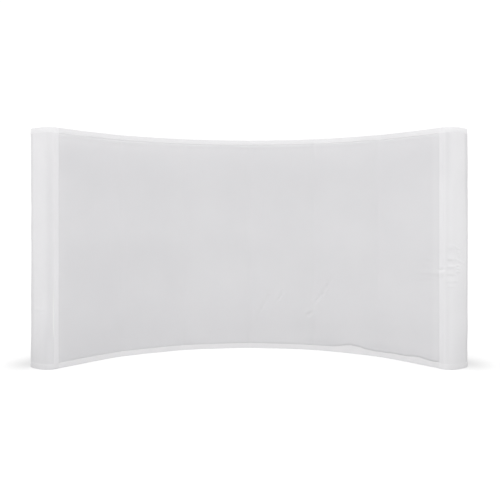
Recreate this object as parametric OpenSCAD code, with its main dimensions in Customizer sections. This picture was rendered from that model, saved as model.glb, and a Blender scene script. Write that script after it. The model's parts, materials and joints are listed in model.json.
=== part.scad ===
// Curved pop-up display wall: a folding scissor lattice, six cells wide and
// three high, under a stretched fabric cover with round ends.
// Millimetres, +Z up. The wall is hollow towards -Y, where people look at it.
// Origin: middle of the footprint, on the floor.

/* [Wall] */
// Turn between two neighbouring columns, in degrees
bay_angle = 19; // [16:0.5:21]
// Radius of the arc that the front hubs stand on
front_radius = 2126; // [1900:1:2600]
// Distance from a front hub to its rear hub
depth = 290; // [270:1:320]
// Height of one cell, hub to hub
cell_h = 728; // [700:1:760]
// Height of the lowest hubs above the floor
hub_floor = 31; // [31:1:36]

/* [Hubs] */
// Half thickness of a hub, front to back
hub_half = 9.5; // [9:0.5:12]
// Radius of the hub's round boss
boss_r = 12; // [11:0.5:13]
// Distance of the level bars' pins from the middle of the hub
level_pin = 28; // [27:0.5:30]
// Thickness of each plate of a forked ear
plate = 3.4; // [3:0.1:3.4]
// Width of the slot between the two plates
slot_w = 6.6; // [6.4:0.1:7]
// Distance of the lock pin from the middle of the hub, on the diagonal
lock_pin = 28; // [27:0.5:32]

/* [Bars] */
// Outside diameter of the bar tube
tube_d = 13; // [12:0.5:13]
// Wall thickness of the bar tube
tube_wall = 1.2; // [1:0.1:1.6]
// Sideways offset of each bar of a crossed pair
bar_off = 7; // [7:0.1:7.2]
// Distance from a bar's pin to where its tube begins
tube_start = 22; // [20:1:26]
// Diameter of the spring pins
pin_d = 4; // [3:0.5:4]
// Diameter of the scissor rivets
rivet_d = 5; // [4:0.5:5]

/* [Lock arms] */
// Thickness of a lock arm, between the plates
arm_t = 6; // [5:0.5:6]
// Height of a lock arm
arm_h = 8; // [7:0.5:9]

/* [Cover] */
// How far the round ends stand out past the end columns
end_bulge = 120; // [100:1:140]
// Fullness of the round ends, 2 is an ellipse
end_power = 2.3; // [2:0.1:3]
// Thickness of the stretched fabric
cloth_t = 0.8; // [0.6:0.1:1]
// Gap under the cover
cover_floor = 2; // [2:1:20]
// Height of the top of the cover
cover_top = 2240; // [2235:1:2260]
// Width of the loop tape in the hems
tape_w = 50; // [40:1:60]
// Diameter of the hook discs
disc_d = 40; // [30:1:40]

/* [Hidden] */

BAYS = 6;
STOREYS = 3;
g = bay_angle / 2;

// Level pairs: pin to pin widths of a bay at the front and at the rear
wf = 2 * front_radius * sin(g);
wr = 2 * (front_radius + depth) * sin(g);
wfp = wf - 2 * level_pin * cos(g);
wrp = wr - 2 * level_pin * cos(g);
// The lattice folds flat only if all bars are equally long, pin to pin.
// That sets how far the upright bars' pins sit from the hub's middle.
bar_len = sqrt(pow((wfp + wrp) / 2, 2) + pow(depth * cos(g), 2));
up_span = sqrt(pow(bar_len, 2) - pow(depth, 2));
up_pin = (cell_h - up_span) / 2;
// Fraction of a level bar, from its front end, where its pair crosses
cross = wfp / (wfp + wrp);
// Angle of an upright bar from the vertical
up_lean = atan2(depth, up_span);

// Layers in front of a hub: hook disc, end liner, loop tape, cloth
disc_t = 2.5;
liner_in = hub_half + disc_t + 0.05;
liner_t = 0.8;
tape_in = liner_in + liner_t + 0.05;
tape_t = 0.5;
cloth_in = tape_in + tape_t + 0.05;
cloth_out = cloth_in + cloth_t;

function th(i) = (i - BAYS / 2) * bay_angle;
function row_z(j) = hub_floor + j * cell_h;

// Half outline of a round end, as [outwards, backwards from mid depth]
ND = 44;
function dome(a, b) = [for (k = [0:ND]) let (p = -90 + 180 * k / ND)
  [b * pow(max(0, cos(p)), 2 / end_power),
   a * (sin(p) < 0 ? -1 : 1) * pow(abs(sin(p)), 2 / end_power)]];

// The footprint's front and back, which centre the wall on the origin
half_d = depth / 2 + cloth_out;
// The end sheets lie flat across the hook discs before they bow
flat_u = disc_d / 2 + 1;
function lean_y(u, rho, t) = (front_radius + depth / 2 + rho) * cos(t) - u * sin(t);
front_y = min([for (q = dome(half_d, end_bulge - flat_u)) lean_y(flat_u + q[0], q[1], th(BAYS))]);
pad_r = 12;
back_y = front_radius + depth + pad_r;
cy = -(front_y + back_y) / 2;

// Places children at column i and radius r from the arc's middle:
// X runs along the wall, Y straight back
module at_col(i, r, z = 0)
  translate([0, cy, 0]) rotate([0, 0, -th(i)]) translate([0, r, z]) children();

function p_col(i, r, t, z) = [
  r * sin(th(i)) + t * cos(th(i)),
  cy + r * cos(th(i)) - t * sin(th(i)), z];

// ---------- hubs ----------
// One forked ear pointing to +X with its slot at height off
module ear(reach, off) {
  lo = off - slot_w / 2 - plate;
  hgt = slot_w + 2 * plate;
  translate([0, -7, lo]) cube([reach, 14, hgt]);
  translate([reach, 0, lo]) cylinder(r = 7, h = hgt, $fn = 48);
}
module ear_cut(reach, off) {
  translate([reach - 5.8, -12, off - slot_w / 2]) cube([20, 24, slot_w]);
  translate([reach, 0, off]) cylinder(d = pin_d + 0.1, h = slot_w + 2 * plate + 0.6, center = true, $fn = 32);
}
// Turns a +X ear to the other three sides
module side(n) rotate([0, -90 * n, 0]) children();

module diag(s) rotate([0, s > 0 ? -45 : -135, 0]) children();

// rear is 1 for a rear hub; lock is 0, or the side on which the lock arm swings.
// Hubs on the wall's edges have no ear where no bar comes; the lowest ear
// of each column takes a foot
module hub(rear, lock, right, left, up) {
  e = rear == 1 ? -1 : 1;
  difference() {
    union() {
      rotate([90, 0, 0]) cylinder(r = boss_r, h = 2 * hub_half, center = true, $fn = 64);
      if (right) ear(level_pin, e * bar_off);
      if (left) mirror([1, 0, 0]) ear(level_pin, -e * bar_off);
      if (up) side(1) ear(up_pin, -e * bar_off);
      side(3) ear(up_pin, -e * bar_off);
      if (lock != 0) diag(lock) {
        translate([0, -6.5, -6.8]) cube([lock_pin, 13, 13.6]);
        translate([lock_pin, 0, -6.8]) cylinder(r = 6.5, h = 13.6, $fn = 48);
      }
    }
    if (right) ear_cut(level_pin, e * bar_off);
    if (left) mirror([1, 0, 0]) ear_cut(level_pin, -e * bar_off);
    if (up) side(1) ear_cut(up_pin, -e * bar_off);
    side(3) ear_cut(up_pin, -e * bar_off);
    if (lock != 0) diag(lock) {
      translate([lock_pin - 6.6, -12, -3.4]) cube([20, 24, 6.8]);
      translate([lock_pin, 0, -8]) cylinder(d = pin_d + 0.1, h = 16, $fn = 32);
    }
  }
}
function lock_side(i) = i < BAYS / 2 ? 1 : -1;
module hub_row(rear, j)
  for (i = [0:BAYS])
    at_col(i, front_radius + rear * depth, row_z(j))
      hub(rear, (j == 1 || j == 2) ? lock_side(i) : 0, i < BAYS, i > 0, j < STOREYS);

// ---------- bars ----------
// Carries a shape made along +X, pin at x = 0, to lie from point a to point b
module along(a, b) {
  v = b - a;
  translate(a) rotate([0, 0, atan2(v[1], v[0])])
    rotate([0, -atan2(v[2], norm([v[0], v[1]])), 0]) children();
}
module tube(cross_at) {
  rr = tube_d / 2;
  len = bar_len - 2 * tube_start;
  difference() {
    translate([tube_start, 0, 0]) rotate([0, 90, 0]) cylinder(r = rr, h = len, $fn = 40);
    translate([tube_start - 1, 0, 0]) rotate([0, 90, 0]) cylinder(r = rr - tube_wall, h = len + 2, $fn = 40);
    translate([cross_at, 0, 0]) cylinder(d = rivet_d + 0.2, h = 40, center = true, $fn = 32);
  }
}
// Tip: tongue round the pin, collar, and a plug inside the tube
module tip() {
  rr = tube_d / 2;
  difference() {
    union() {
      cylinder(r = 5, h = 6, center = true, $fn = 40);
      translate([0, -5, -3]) cube([18, 10, 6]);
      translate([16.5, 0, 0]) rotate([0, 90, 0]) cylinder(r = rr, h = tube_start - 16.6, $fn = 40);
      translate([17, 0, 0]) rotate([0, 90, 0]) cylinder(r = rr - tube_wall - 0.1, h = tube_start + 3, $fn = 40);
    }
    cylinder(d = pin_d + 0.3, h = 20, center = true, $fn = 32);
  }
}

// End points of a level bar. over = 1: front of column k to rear of column k+1
function level_a(k, j, over) = p_col(k, front_radius + (1 - over) * depth, level_pin, row_z(j) + (2 * over - 1) * bar_off);
function level_b(k, j, over) = p_col(k + 1, front_radius + over * depth, -level_pin, row_z(j) + (2 * over - 1) * bar_off);

module level_bars(j, over)
  for (k = [0:BAYS - 1])
    along(level_a(k, j, over), level_b(k, j, over))
      tube((over == 1 ? cross : 1 - cross) * bar_len);

// Upright bar in column i, storey j. a-bars run from front low to rear high.
// In the column's own frame X is sideways, so the bar is turned in the YZ plane
module up_place(i, j, a)
  at_col(i, front_radius + (1 - a) * depth, row_z(j) + up_pin)
    translate([(2 * a - 1) * bar_off, 0, 0])
      rotate([(2 * a - 1) * (90 - up_lean) + (1 - a) * 180, 0, 0])
        rotate([0, 0, 90]) rotate([90, 0, 0]) children();
module upright_bars(j, a)
  for (i = [0:BAYS]) up_place(i, j, a) tube(bar_len / 2);

module level_bar_tips()
  color("dimgray") for (j = [0:STOREYS], k = [0:BAYS - 1], over = [0, 1]) {
    along(level_a(k, j, over), level_b(k, j, over)) tip();
    along(level_b(k, j, over), level_a(k, j, over)) tip();
  }
module upright_bar_tips()
  color("dimgray") for (j = [0:STOREYS - 1], i = [0:BAYS], a = [0, 1])
    up_place(i, j, a) { tip(); translate([bar_len, 0, 0]) rotate([0, 0, 180]) tip(); }

// ---------- rivets and pins ----------
module rivet() {
  t = bar_off + tube_d / 2 + 0.1;
  cylinder(d = rivet_d, h = 2 * t + 1, center = true, $fn = 32);
  for (s = [0, 1]) mirror([0, 0, s]) translate([0, 0, t]) cylinder(r1 = 4.6, r2 = 3.6, h = 1.8, $fn = 32);
  difference() {
    cylinder(r = 4.5, h = 2 * (bar_off - tube_d / 2) - 0.1, center = true, $fn = 32);
    cylinder(d = rivet_d - 1, h = 2, center = true, $fn = 32);
  }
}
module level_rivets()
  color("silver") for (j = [0:STOREYS], k = [0:BAYS - 1]) {
    a = level_a(k, j, 1); b = level_b(k, j, 1);
    c = a + cross * (b - a);
    translate([c[0], c[1], row_z(j)]) rivet();
  }
module upright_rivets()
  color("silver") for (j = [0:STOREYS - 1], i = [0:BAYS])
    at_col(i, front_radius + depth / 2, row_z(j) + cell_h / 2) rotate([0, 90, 0]) rivet();

pin_l = slot_w + 2 * plate - 0.4;
module pin(off) translate([0, 0, off]) cylinder(d = pin_d, h = pin_l, center = true, $fn = 32);
module level_hub_pins()
  color("silver") for (rear = [0, 1], i = [0:BAYS], j = [0:STOREYS])
    at_col(i, front_radius + rear * depth, row_z(j)) {
      e = rear == 1 ? -1 : 1;
      if (i < BAYS) translate([level_pin, 0, 0]) pin(e * bar_off);
      if (i > 0) translate([-level_pin, 0, 0]) pin(-e * bar_off);
    }
module upright_hub_pins()
  color("silver") for (rear = [0, 1], i = [0:BAYS], j = [0:STOREYS])
    at_col(i, front_radius + rear * depth, row_z(j)) {
      e = rear == 1 ? -1 : 1;
      if (j < STOREYS) side(1) translate([up_pin, 0, 0]) pin(-e * bar_off);
      if (j > 0) side(3) translate([up_pin, 0, 0]) pin(-e * bar_off);
    }
module lock_pins(rear)
  color("silver") for (i = [0:BAYS], j = [1, 2])
    at_col(i, front_radius + rear * depth, row_z(j)) diag(lock_side(i))
      translate([lock_pin, 0, 0]) cylinder(d = pin_d, h = 13.2, center = true, $fn = 32);

// ---------- lock arm ----------
// One moulding: eye at the rear pin, a hook that drops over the front pin,
// and a finger lift above the hook
module lock_arm(i, j)
  color("gray") at_col(i, front_radius + depth, row_z(j)) diag(lock_side(i))
    translate([lock_pin, 0, 0]) difference() {
      union() {
        cylinder(r = 5.2, h = arm_t, center = true, $fn = 48);
        translate([-arm_h / 2, -depth, -arm_t / 2]) cube([arm_h, depth, arm_t]);
        translate([0, -depth, 0]) cylinder(r = 5.6, h = arm_t, center = true, $fn = 48);
        translate([0, -depth + 12, -arm_t / 2]) cube([12, 5, arm_t]);
        translate([0, -depth / 2 - 40, -arm_t / 2]) cube([arm_h / 2 + 2, 80, arm_t]);
      }
      cylinder(d = pin_d + 0.2, h = 20, center = true, $fn = 32);
      translate([0, -depth, 0]) cylinder(d = pin_d + 0.4, h = 20, center = true, $fn = 32);
      translate([-12, -depth - pin_d / 2 - 0.2, -10]) cube([12, pin_d + 0.4, 20]);
    }

// ---------- feet ----------
module foot_studs()
  color("dimgray") for (rear = [0, 1], i = [0:BAYS])
    at_col(i, front_radius + rear * depth, row_z(0)) {
      e = rear == 1 ? -1 : 1;
      difference() {
        union() {
          translate([-e * bar_off - 3, -5, -hub_floor + 5]) cube([6, 10, hub_floor - 5 - up_pin]);
          translate([-e * bar_off, 0, -up_pin]) rotate([0, 90, 0]) cylinder(r = 5, h = 6, center = true, $fn = 40);
          translate([-e * bar_off, 0, -hub_floor + 3.5]) cylinder(r = 11, h = 2.4, $fn = 48);
        }
        translate([-e * bar_off, 0, -up_pin]) rotate([0, 90, 0]) cylinder(d = pin_d + 0.3, h = 20, center = true, $fn = 32);
      }
    }
module foot_pins()
  color("silver") for (rear = [0, 1], i = [0:BAYS])
    at_col(i, front_radius + rear * depth, row_z(0))
      side(3) translate([up_pin, 0, 0]) pin((rear == 1 ? 1 : -1) * bar_off);
module foot_pads()
  color("black") for (rear = [0, 1], i = [0:BAYS])
    at_col(i, front_radius + rear * depth, 0)
      translate([(rear == 1 ? 1 : -1) * bar_off, 0, 0]) {
        cylinder(r1 = pad_r - 0.6, r2 = pad_r, h = 1, $fn = 48);
        translate([0, 0, 1]) cylinder(r = pad_r, h = 2.5, $fn = 48);
      }

// ---------- hook discs ----------
module disc() rotate([90, 0, 0]) cylinder(d = disc_d, h = disc_t, $fn = 48);
module front_hook_discs()
  color("whitesmoke") for (i = [0:BAYS], j = [0:STOREYS])
    at_col(i, front_radius - hub_half, row_z(j)) disc();
module rear_hook_discs()
  color("whitesmoke") for (i = [0, BAYS], j = [0:STOREYS])
    at_col(i, front_radius + depth + hub_half + disc_t, row_z(j)) disc();

// ---------- round ends ----------
// A bowed sheet from lap_f at the front, round the end, to lap_r at the rear.
// inn and out are its two faces, measured from the hubs' mid planes
module bow(i, inn, out, lap_f, lap_r, z0, z1) {
  s = i == 0 ? -1 : 1;
  a0 = depth / 2 + inn;
  a1 = depth / 2 + out;
  sh = end_bulge - cloth_out;
  o = dome(a1, sh + out - flat_u);
  n = dome(a0, sh + inn - flat_u);
  pts = concat([[-lap_f, -a1]], [for (q = o) [flat_u + q[0], q[1]]], [[-lap_r, a1], [-lap_r, a0]],
    [for (k = [ND:-1:0]) [flat_u + n[k][0], n[k][1]]], [[-lap_f, -a0]]);
  at_col(i, front_radius + depth / 2, z0)
    linear_extrude(height = z1 - z0) polygon([for (q = pts) [s * q[0], q[1]]]);
}
// The front upright band of an end: from the column out to about u1
module bow_edge(i, inn, out, u1, z0, z1) {
  s = i == 0 ? -1 : 1;
  a0 = depth / 2 + inn;
  a1 = depth / 2 + out;
  sh = end_bulge - cloth_out - flat_u;
  o = [for (q = dome(a1, sh + out)) if (q[1] < 0 && q[0] < u1 - flat_u) [flat_u + q[0], q[1]]];
  n = [for (q = dome(a0, sh + inn)) if (q[1] < 0 && q[0] < u1 - flat_u) [flat_u + q[0], q[1]]];
  m = len(n) - 1;
  pts = concat([[0.6, -a1]], o, [for (k = [m:-1:0]) n[k]], [[0.6, -a0]]);
  at_col(i, front_radius + depth / 2, z0)
    linear_extrude(height = z1 - z0) polygon([for (q = pts) [s * q[0], q[1]]]);
}
// A flat sheet across bay k, between two radii measured at the columns
module flat_bay(k, ri, ro, z0, z1) {
  c = 0.01;
  function v(a, r) = [r * sin(a), cy + r * cos(a)];
  translate([0, 0, z0]) linear_extrude(height = z1 - z0)
    polygon([v(th(k) + c, ri), v(th(k) + c, ro), v(th(k + 1) - c, ro), v(th(k + 1) - c, ri)]);
}
r_cloth = front_radius - cloth_out;
liner_lap = 16;
module end_liner(i)
  color("white") bow(i, liner_in, liner_in + liner_t, liner_lap, liner_lap, cover_floor + 3, cover_top - 3);
// The same bowed sheet as slabs side by side, each nearly flat
CUTS = [0, 4, 7, 10, 13, 16, 19, 22, 25, 28, 31, 34, 37, 40, 43, ND + 2];
module bow_slabs(i, inn, out, lap_f, lap_r, z0, z1) {
  s = i == 0 ? -1 : 1;
  a0 = depth / 2 + inn;
  a1 = depth / 2 + out;
  sh = end_bulge - cloth_out - flat_u;
  o = concat([[-lap_f, -a1]], dome(a1, sh + out), [[-lap_r, a1]]);
  n = concat([[-lap_f, -a0]], dome(a0, sh + inn), [[-lap_r, a0]]);
  function at(v, k) = [v[k][0] + (k > 0 && k < ND + 2 ? flat_u : 0), v[k][1]];
  function past(v, k) = let (a = at(v, k), b = at(v, k + 1)) k == 0 ? a : a + 0.02 * (b - a) / norm(b - a);
  for (c = [0:len(CUTS) - 2]) {
    k0 = CUTS[c];
    k1 = CUTS[c + 1];
    pts = concat([past(o, k0)], [for (k = [k0 + 1:k1]) at(o, k)],
      [for (k = [k1:-1:k0 + 1]) at(n, k)], [past(n, k0)]);
    at_col(i, front_radius + depth / 2, z0)
      linear_extrude(height = z1 - z0) polygon([for (q = pts) [s * q[0], q[1]]]);
  }
}
module end_cover(i)
  color("whitesmoke") bow_slabs(i, cloth_in, cloth_out, -0.4, 26, cover_floor, cover_top);
module front_cover()
  color("whitesmoke") for (k = [0:BAYS - 1])
    flat_bay(k, r_cloth, r_cloth + cloth_t, cover_floor, cover_top);
module tape_ring(z0)
  color("white") {
    for (k = [0:BAYS - 1])
      flat_bay(k, r_cloth + cloth_t + 0.05, r_cloth + cloth_t + 0.05 + tape_t, z0, z0 + tape_w);
    for (i = [0, BAYS]) bow(i, tape_in, tape_in + tape_t, -0.6, 25, z0, z0 + tape_w);
  }
module edge_tape(i)
  color("white") {
    z0 = cover_floor + tape_w + 0.5;
    z1 = cover_top - tape_w - 0.5;
    bow_edge(i, tape_in, tape_in + tape_t, tape_w, z0, z1);
    at_col(i, front_radius + depth + tape_in, z0)
      mirror([i == 0 ? 1 : 0, 0, 0]) translate([-25, 0, 0])
        cube([25 + flat_u - 2, tape_t, z1 - z0]);
  }

module front_hubs(j) color("dimgray") hub_row(0, j);
module rear_hubs(j) color("dimgray") hub_row(1, j);

front_hubs(0);  // front_hubs_row_1
front_hubs(1);  // front_hubs_row_2
front_hubs(2);  // front_hubs_row_3
front_hubs(3);  // front_hubs_row_4
rear_hubs(0);  // rear_hubs_row_1
rear_hubs(1);  // rear_hubs_row_2
rear_hubs(2);  // rear_hubs_row_3
rear_hubs(3);  // rear_hubs_row_4
color("silver") level_bars(0, 1);  // level_bars_row_1_over
color("silver") level_bars(0, 0);  // level_bars_row_1_under
color("silver") level_bars(1, 1);  // level_bars_row_2_over
color("silver") level_bars(1, 0);  // level_bars_row_2_under
color("silver") level_bars(2, 1);  // level_bars_row_3_over
color("silver") level_bars(2, 0);  // level_bars_row_3_under
color("silver") level_bars(3, 1);  // level_bars_row_4_over
color("silver") level_bars(3, 0);  // level_bars_row_4_under
color("silver") upright_bars(0, 1);  // upright_bars_low_a
color("silver") upright_bars(0, 0);  // upright_bars_low_b
color("silver") upright_bars(1, 1);  // upright_bars_mid_a
color("silver") upright_bars(1, 0);  // upright_bars_mid_b
color("silver") upright_bars(2, 1);  // upright_bars_top_a
color("silver") upright_bars(2, 0);  // upright_bars_top_b
level_bar_tips();
upright_bar_tips();
level_rivets();
upright_rivets();
level_hub_pins();
upright_hub_pins();
lock_pins(1);  // lock_hinge_pins
lock_pins(0);  // lock_catch_pins
lock_arm(0, 1);  // lock_arm_1_low
lock_arm(1, 1);  // lock_arm_2_low
lock_arm(2, 1);  // lock_arm_3_low
lock_arm(3, 1);  // lock_arm_4_low
lock_arm(4, 1);  // lock_arm_5_low
lock_arm(5, 1);  // lock_arm_6_low
lock_arm(6, 1);  // lock_arm_7_low
lock_arm(0, 2);  // lock_arm_1_high
lock_arm(1, 2);  // lock_arm_2_high
lock_arm(2, 2);  // lock_arm_3_high
lock_arm(3, 2);  // lock_arm_4_high
lock_arm(4, 2);  // lock_arm_5_high
lock_arm(5, 2);  // lock_arm_6_high
lock_arm(6, 2);  // lock_arm_7_high
foot_studs();
foot_pins();
foot_pads();
front_hook_discs();
rear_hook_discs();
end_liner(0);  // left_end_liner
end_liner(6);  // right_end_liner
front_cover();
end_cover(0);  // left_end_cover
end_cover(6);  // right_end_cover
tape_ring(cover_top - tape_w);  // loop_tape_top
tape_ring(cover_floor);  // loop_tape_bottom
edge_tape(0);  // loop_tape_left_edge
edge_tape(6);  // loop_tape_right_edge
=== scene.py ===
import json
import math

import bpy
import numpy as np
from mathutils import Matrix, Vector


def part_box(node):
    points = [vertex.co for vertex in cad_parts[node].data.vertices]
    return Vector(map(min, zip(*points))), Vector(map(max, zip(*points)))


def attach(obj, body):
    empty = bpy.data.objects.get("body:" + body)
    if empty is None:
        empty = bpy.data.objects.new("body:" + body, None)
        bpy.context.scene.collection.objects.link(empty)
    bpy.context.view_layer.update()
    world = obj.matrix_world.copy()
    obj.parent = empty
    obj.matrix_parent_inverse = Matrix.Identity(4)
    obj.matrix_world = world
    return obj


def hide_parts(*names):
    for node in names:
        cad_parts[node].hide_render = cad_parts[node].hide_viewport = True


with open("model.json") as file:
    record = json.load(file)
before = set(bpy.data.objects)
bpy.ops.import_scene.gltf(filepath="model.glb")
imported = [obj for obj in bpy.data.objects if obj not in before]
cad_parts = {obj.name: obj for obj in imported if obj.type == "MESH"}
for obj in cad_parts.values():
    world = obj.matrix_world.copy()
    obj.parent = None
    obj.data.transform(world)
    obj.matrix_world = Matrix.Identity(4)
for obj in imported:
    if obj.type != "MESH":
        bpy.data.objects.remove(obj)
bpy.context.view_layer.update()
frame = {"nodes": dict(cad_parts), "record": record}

# --------------------------------------------------------------------------
# Sizes, in metres, as the frame has them
# --------------------------------------------------------------------------
TURN = math.radians(19.0)                 # between two neighbouring columns
R_F, DEPTH = 2.126, 0.290                 # front hubs' arc, and front to rear
CELL, HUB_Z = 0.728, 0.031                # rows of hubs
BULGE, POWER, FLAT = 0.120, 2.3, 0.021    # the round ends
C_OUT, CLOTH = 0.01425, 0.0008            # cloth in front of a hub's mid plane
LOW, HIGH = 0.002, 2.240                  # the cover's lower and upper edges
HEM = 0.050                               # width of the double bands
LAP = 0.026                               # the cover's lap at the rear hubs
TAPE_T, LINER_T = 0.0005, 0.0008
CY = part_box("foot_pads")[1].y - (R_F + DEPTH + 0.012)
HALF = DEPTH / 2 + C_OUT
SLOPE = math.tan(TURN / 2)


def smooth(x):
    x = np.clip(x, 0.0, 1.0)
    return x * x * (3 - 2 * x)


def column_xy(angle, r, t):
    """The point at radius r from the arc's middle, and t along the wall from the column at that angle."""
    return np.stack([r * np.sin(angle) + t * np.cos(angle), CY + r * np.cos(angle) - t * np.sin(angle)], -1)


VERT = np.array([column_xy((i - 3) * TURN, R_F - C_OUT, 0.0) for i in range(7)])
BAY = float(np.linalg.norm(VERT[1] - VERT[0]))
WIDE = 6 * BAY


def swell(s, z, seed, size, count=14):
    """A smooth, slow unevenness between about -1 and 1, the same in each run."""
    rng = np.random.RandomState(seed)
    total = 0.0
    for _ in range(count):
        a, f, p = rng.uniform(0, 2 * math.pi), rng.uniform(0.6, 1.5) / size, rng.uniform(0, 2 * math.pi)
        total = total + np.sin(2 * math.pi * f * (s * math.cos(a) + z * math.sin(a)) + p)
    return total / math.sqrt(count) * 0.8


def fold(s, z, line, width, depth, lift=0.45, fade=0.12):
    """A crease along a line of points: a valley with a soft ridge on each side, fading out at both ends."""
    pts = np.array(line, float)
    seg = np.diff(pts, axis=0)
    length = np.hypot(seg[:, 0], seg[:, 1])
    start = np.concatenate([[0], np.cumsum(length)])
    best = np.full(np.broadcast(s, z).shape, 1e9)
    along = np.zeros_like(best)
    for i in range(len(seg)):
        q = ((s - pts[i, 0]) * seg[i, 0] + (z - pts[i, 1]) * seg[i, 1]) / length[i] ** 2
        q = np.clip(q, 0, 1)
        d = np.hypot(s - pts[i, 0] - q * seg[i, 0], z - pts[i, 1] - q * seg[i, 1])
        nearer = d < best
        best = np.where(nearer, d, best)
        along = np.where(nearer, start[i] + q * length[i], along)
    full = start[-1]
    reach = min(fade, full / 2)
    ends = smooth(along / reach) * smooth((full - along) / reach)
    x = best / width
    return depth * ends * (-np.exp(-x * x) + lift * np.exp(-((x - 1.9) / 0.9) ** 2))


def ridge(s, z, line, width, height, fade=0.03):
    """The opposite: a soft pinched ridge that only stands out."""
    return -fold(s, z, line, width, height, 0.0, fade)


def tuck(s, z, a, b, above, below, height, fade=0.03):
    """A pinched fold across the cloth, which rises softly from above and drops steeply below."""
    q = np.clip((s - a[0]) / (b[0] - a[0]), 0, 1)
    x = z - a[1] - (b[1] - a[1]) * q
    ends = smooth((s - a[0]) / fade) * smooth((b[0] - s) / fade)
    return height * ends * np.exp(-(x / np.where(x > 0, above, below)) ** 2)


# --------------------------------------------------------------------------
# The stretched cover's own surface: front, and the two round ends
# --------------------------------------------------------------------------
def between_rows(z):
    q = np.clip((z - HUB_Z) / CELL, 0, 3)
    return np.sin(math.pi * q) ** 2


def overhang(s):
    """How much loose cloth hangs over the lower hem: a little at the left, more at the right."""
    return (0.0026 + 0.0012 * smooth((s - 1.5) / 0.5)) * smooth((s - 0.03) / 0.15) + 0.0038 * smooth((s - 2.65) / 0.75) * (1 - 0.24 * smooth((s - 3.60) / 0.2) - 0.16 * smooth((s - 3.95) / 0.2))


LIP = np.array([(2.86, 0.0), (3.00, 0.006), (3.08, 0.017), (3.14, 0.031), (3.20, 0.038), (3.28, 0.030), (3.36, 0.012),
                (3.45, 0.000), (3.57, 0.001), (3.64, 0.005), (3.70, 0.008), (3.77, 0.004), (3.84, 0.006), (3.91, 0.016),
                (3.98, 0.020), (4.02, 0.010), (4.06, 0.004), (4.13, 0.003), (4.17, 0.006), (4.21, 0.006)])


def lip(s):
    """Where the loose cloth is bunched, its lower fold hangs this much above the hem instead of on it."""
    return sum(np.interp(s + q, LIP[:, 0], LIP[:, 1]) for q in (-0.020, -0.010, 0.0, 0.010, 0.020)) / 5


def ripple(s):
    return 1 + 0.42 * np.sin(2 * math.pi * s / 0.128 + 1.6 * np.sin(s * 3.7)) + 0.2 * np.sin(2 * math.pi * s / 0.057 + 2.0 * np.sin(s * 7.1))


def patchy(s, seed, size):
    """Between 0 and about 1 along a line, in uneven stretches."""
    return np.clip(0.45 + 0.75 * swell(s, 0 * s, seed, size, 9), 0, 1.3)


def seam_push(side, z):
    """What the front and the round end share along the upright seam between them."""
    if side < 0:
        return 0.0 * z
    return (0.0034 * np.exp(-((z - 0.898) / 0.045) ** 2) - 0.0048 * np.exp(-((z - 0.919) / 0.0120) ** 2)
            + 0.0016 * np.exp(-((z - 0.882) / 0.0130) ** 2) - 0.0010 * np.exp(-((z - 0.838) / 0.010) ** 2))


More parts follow.
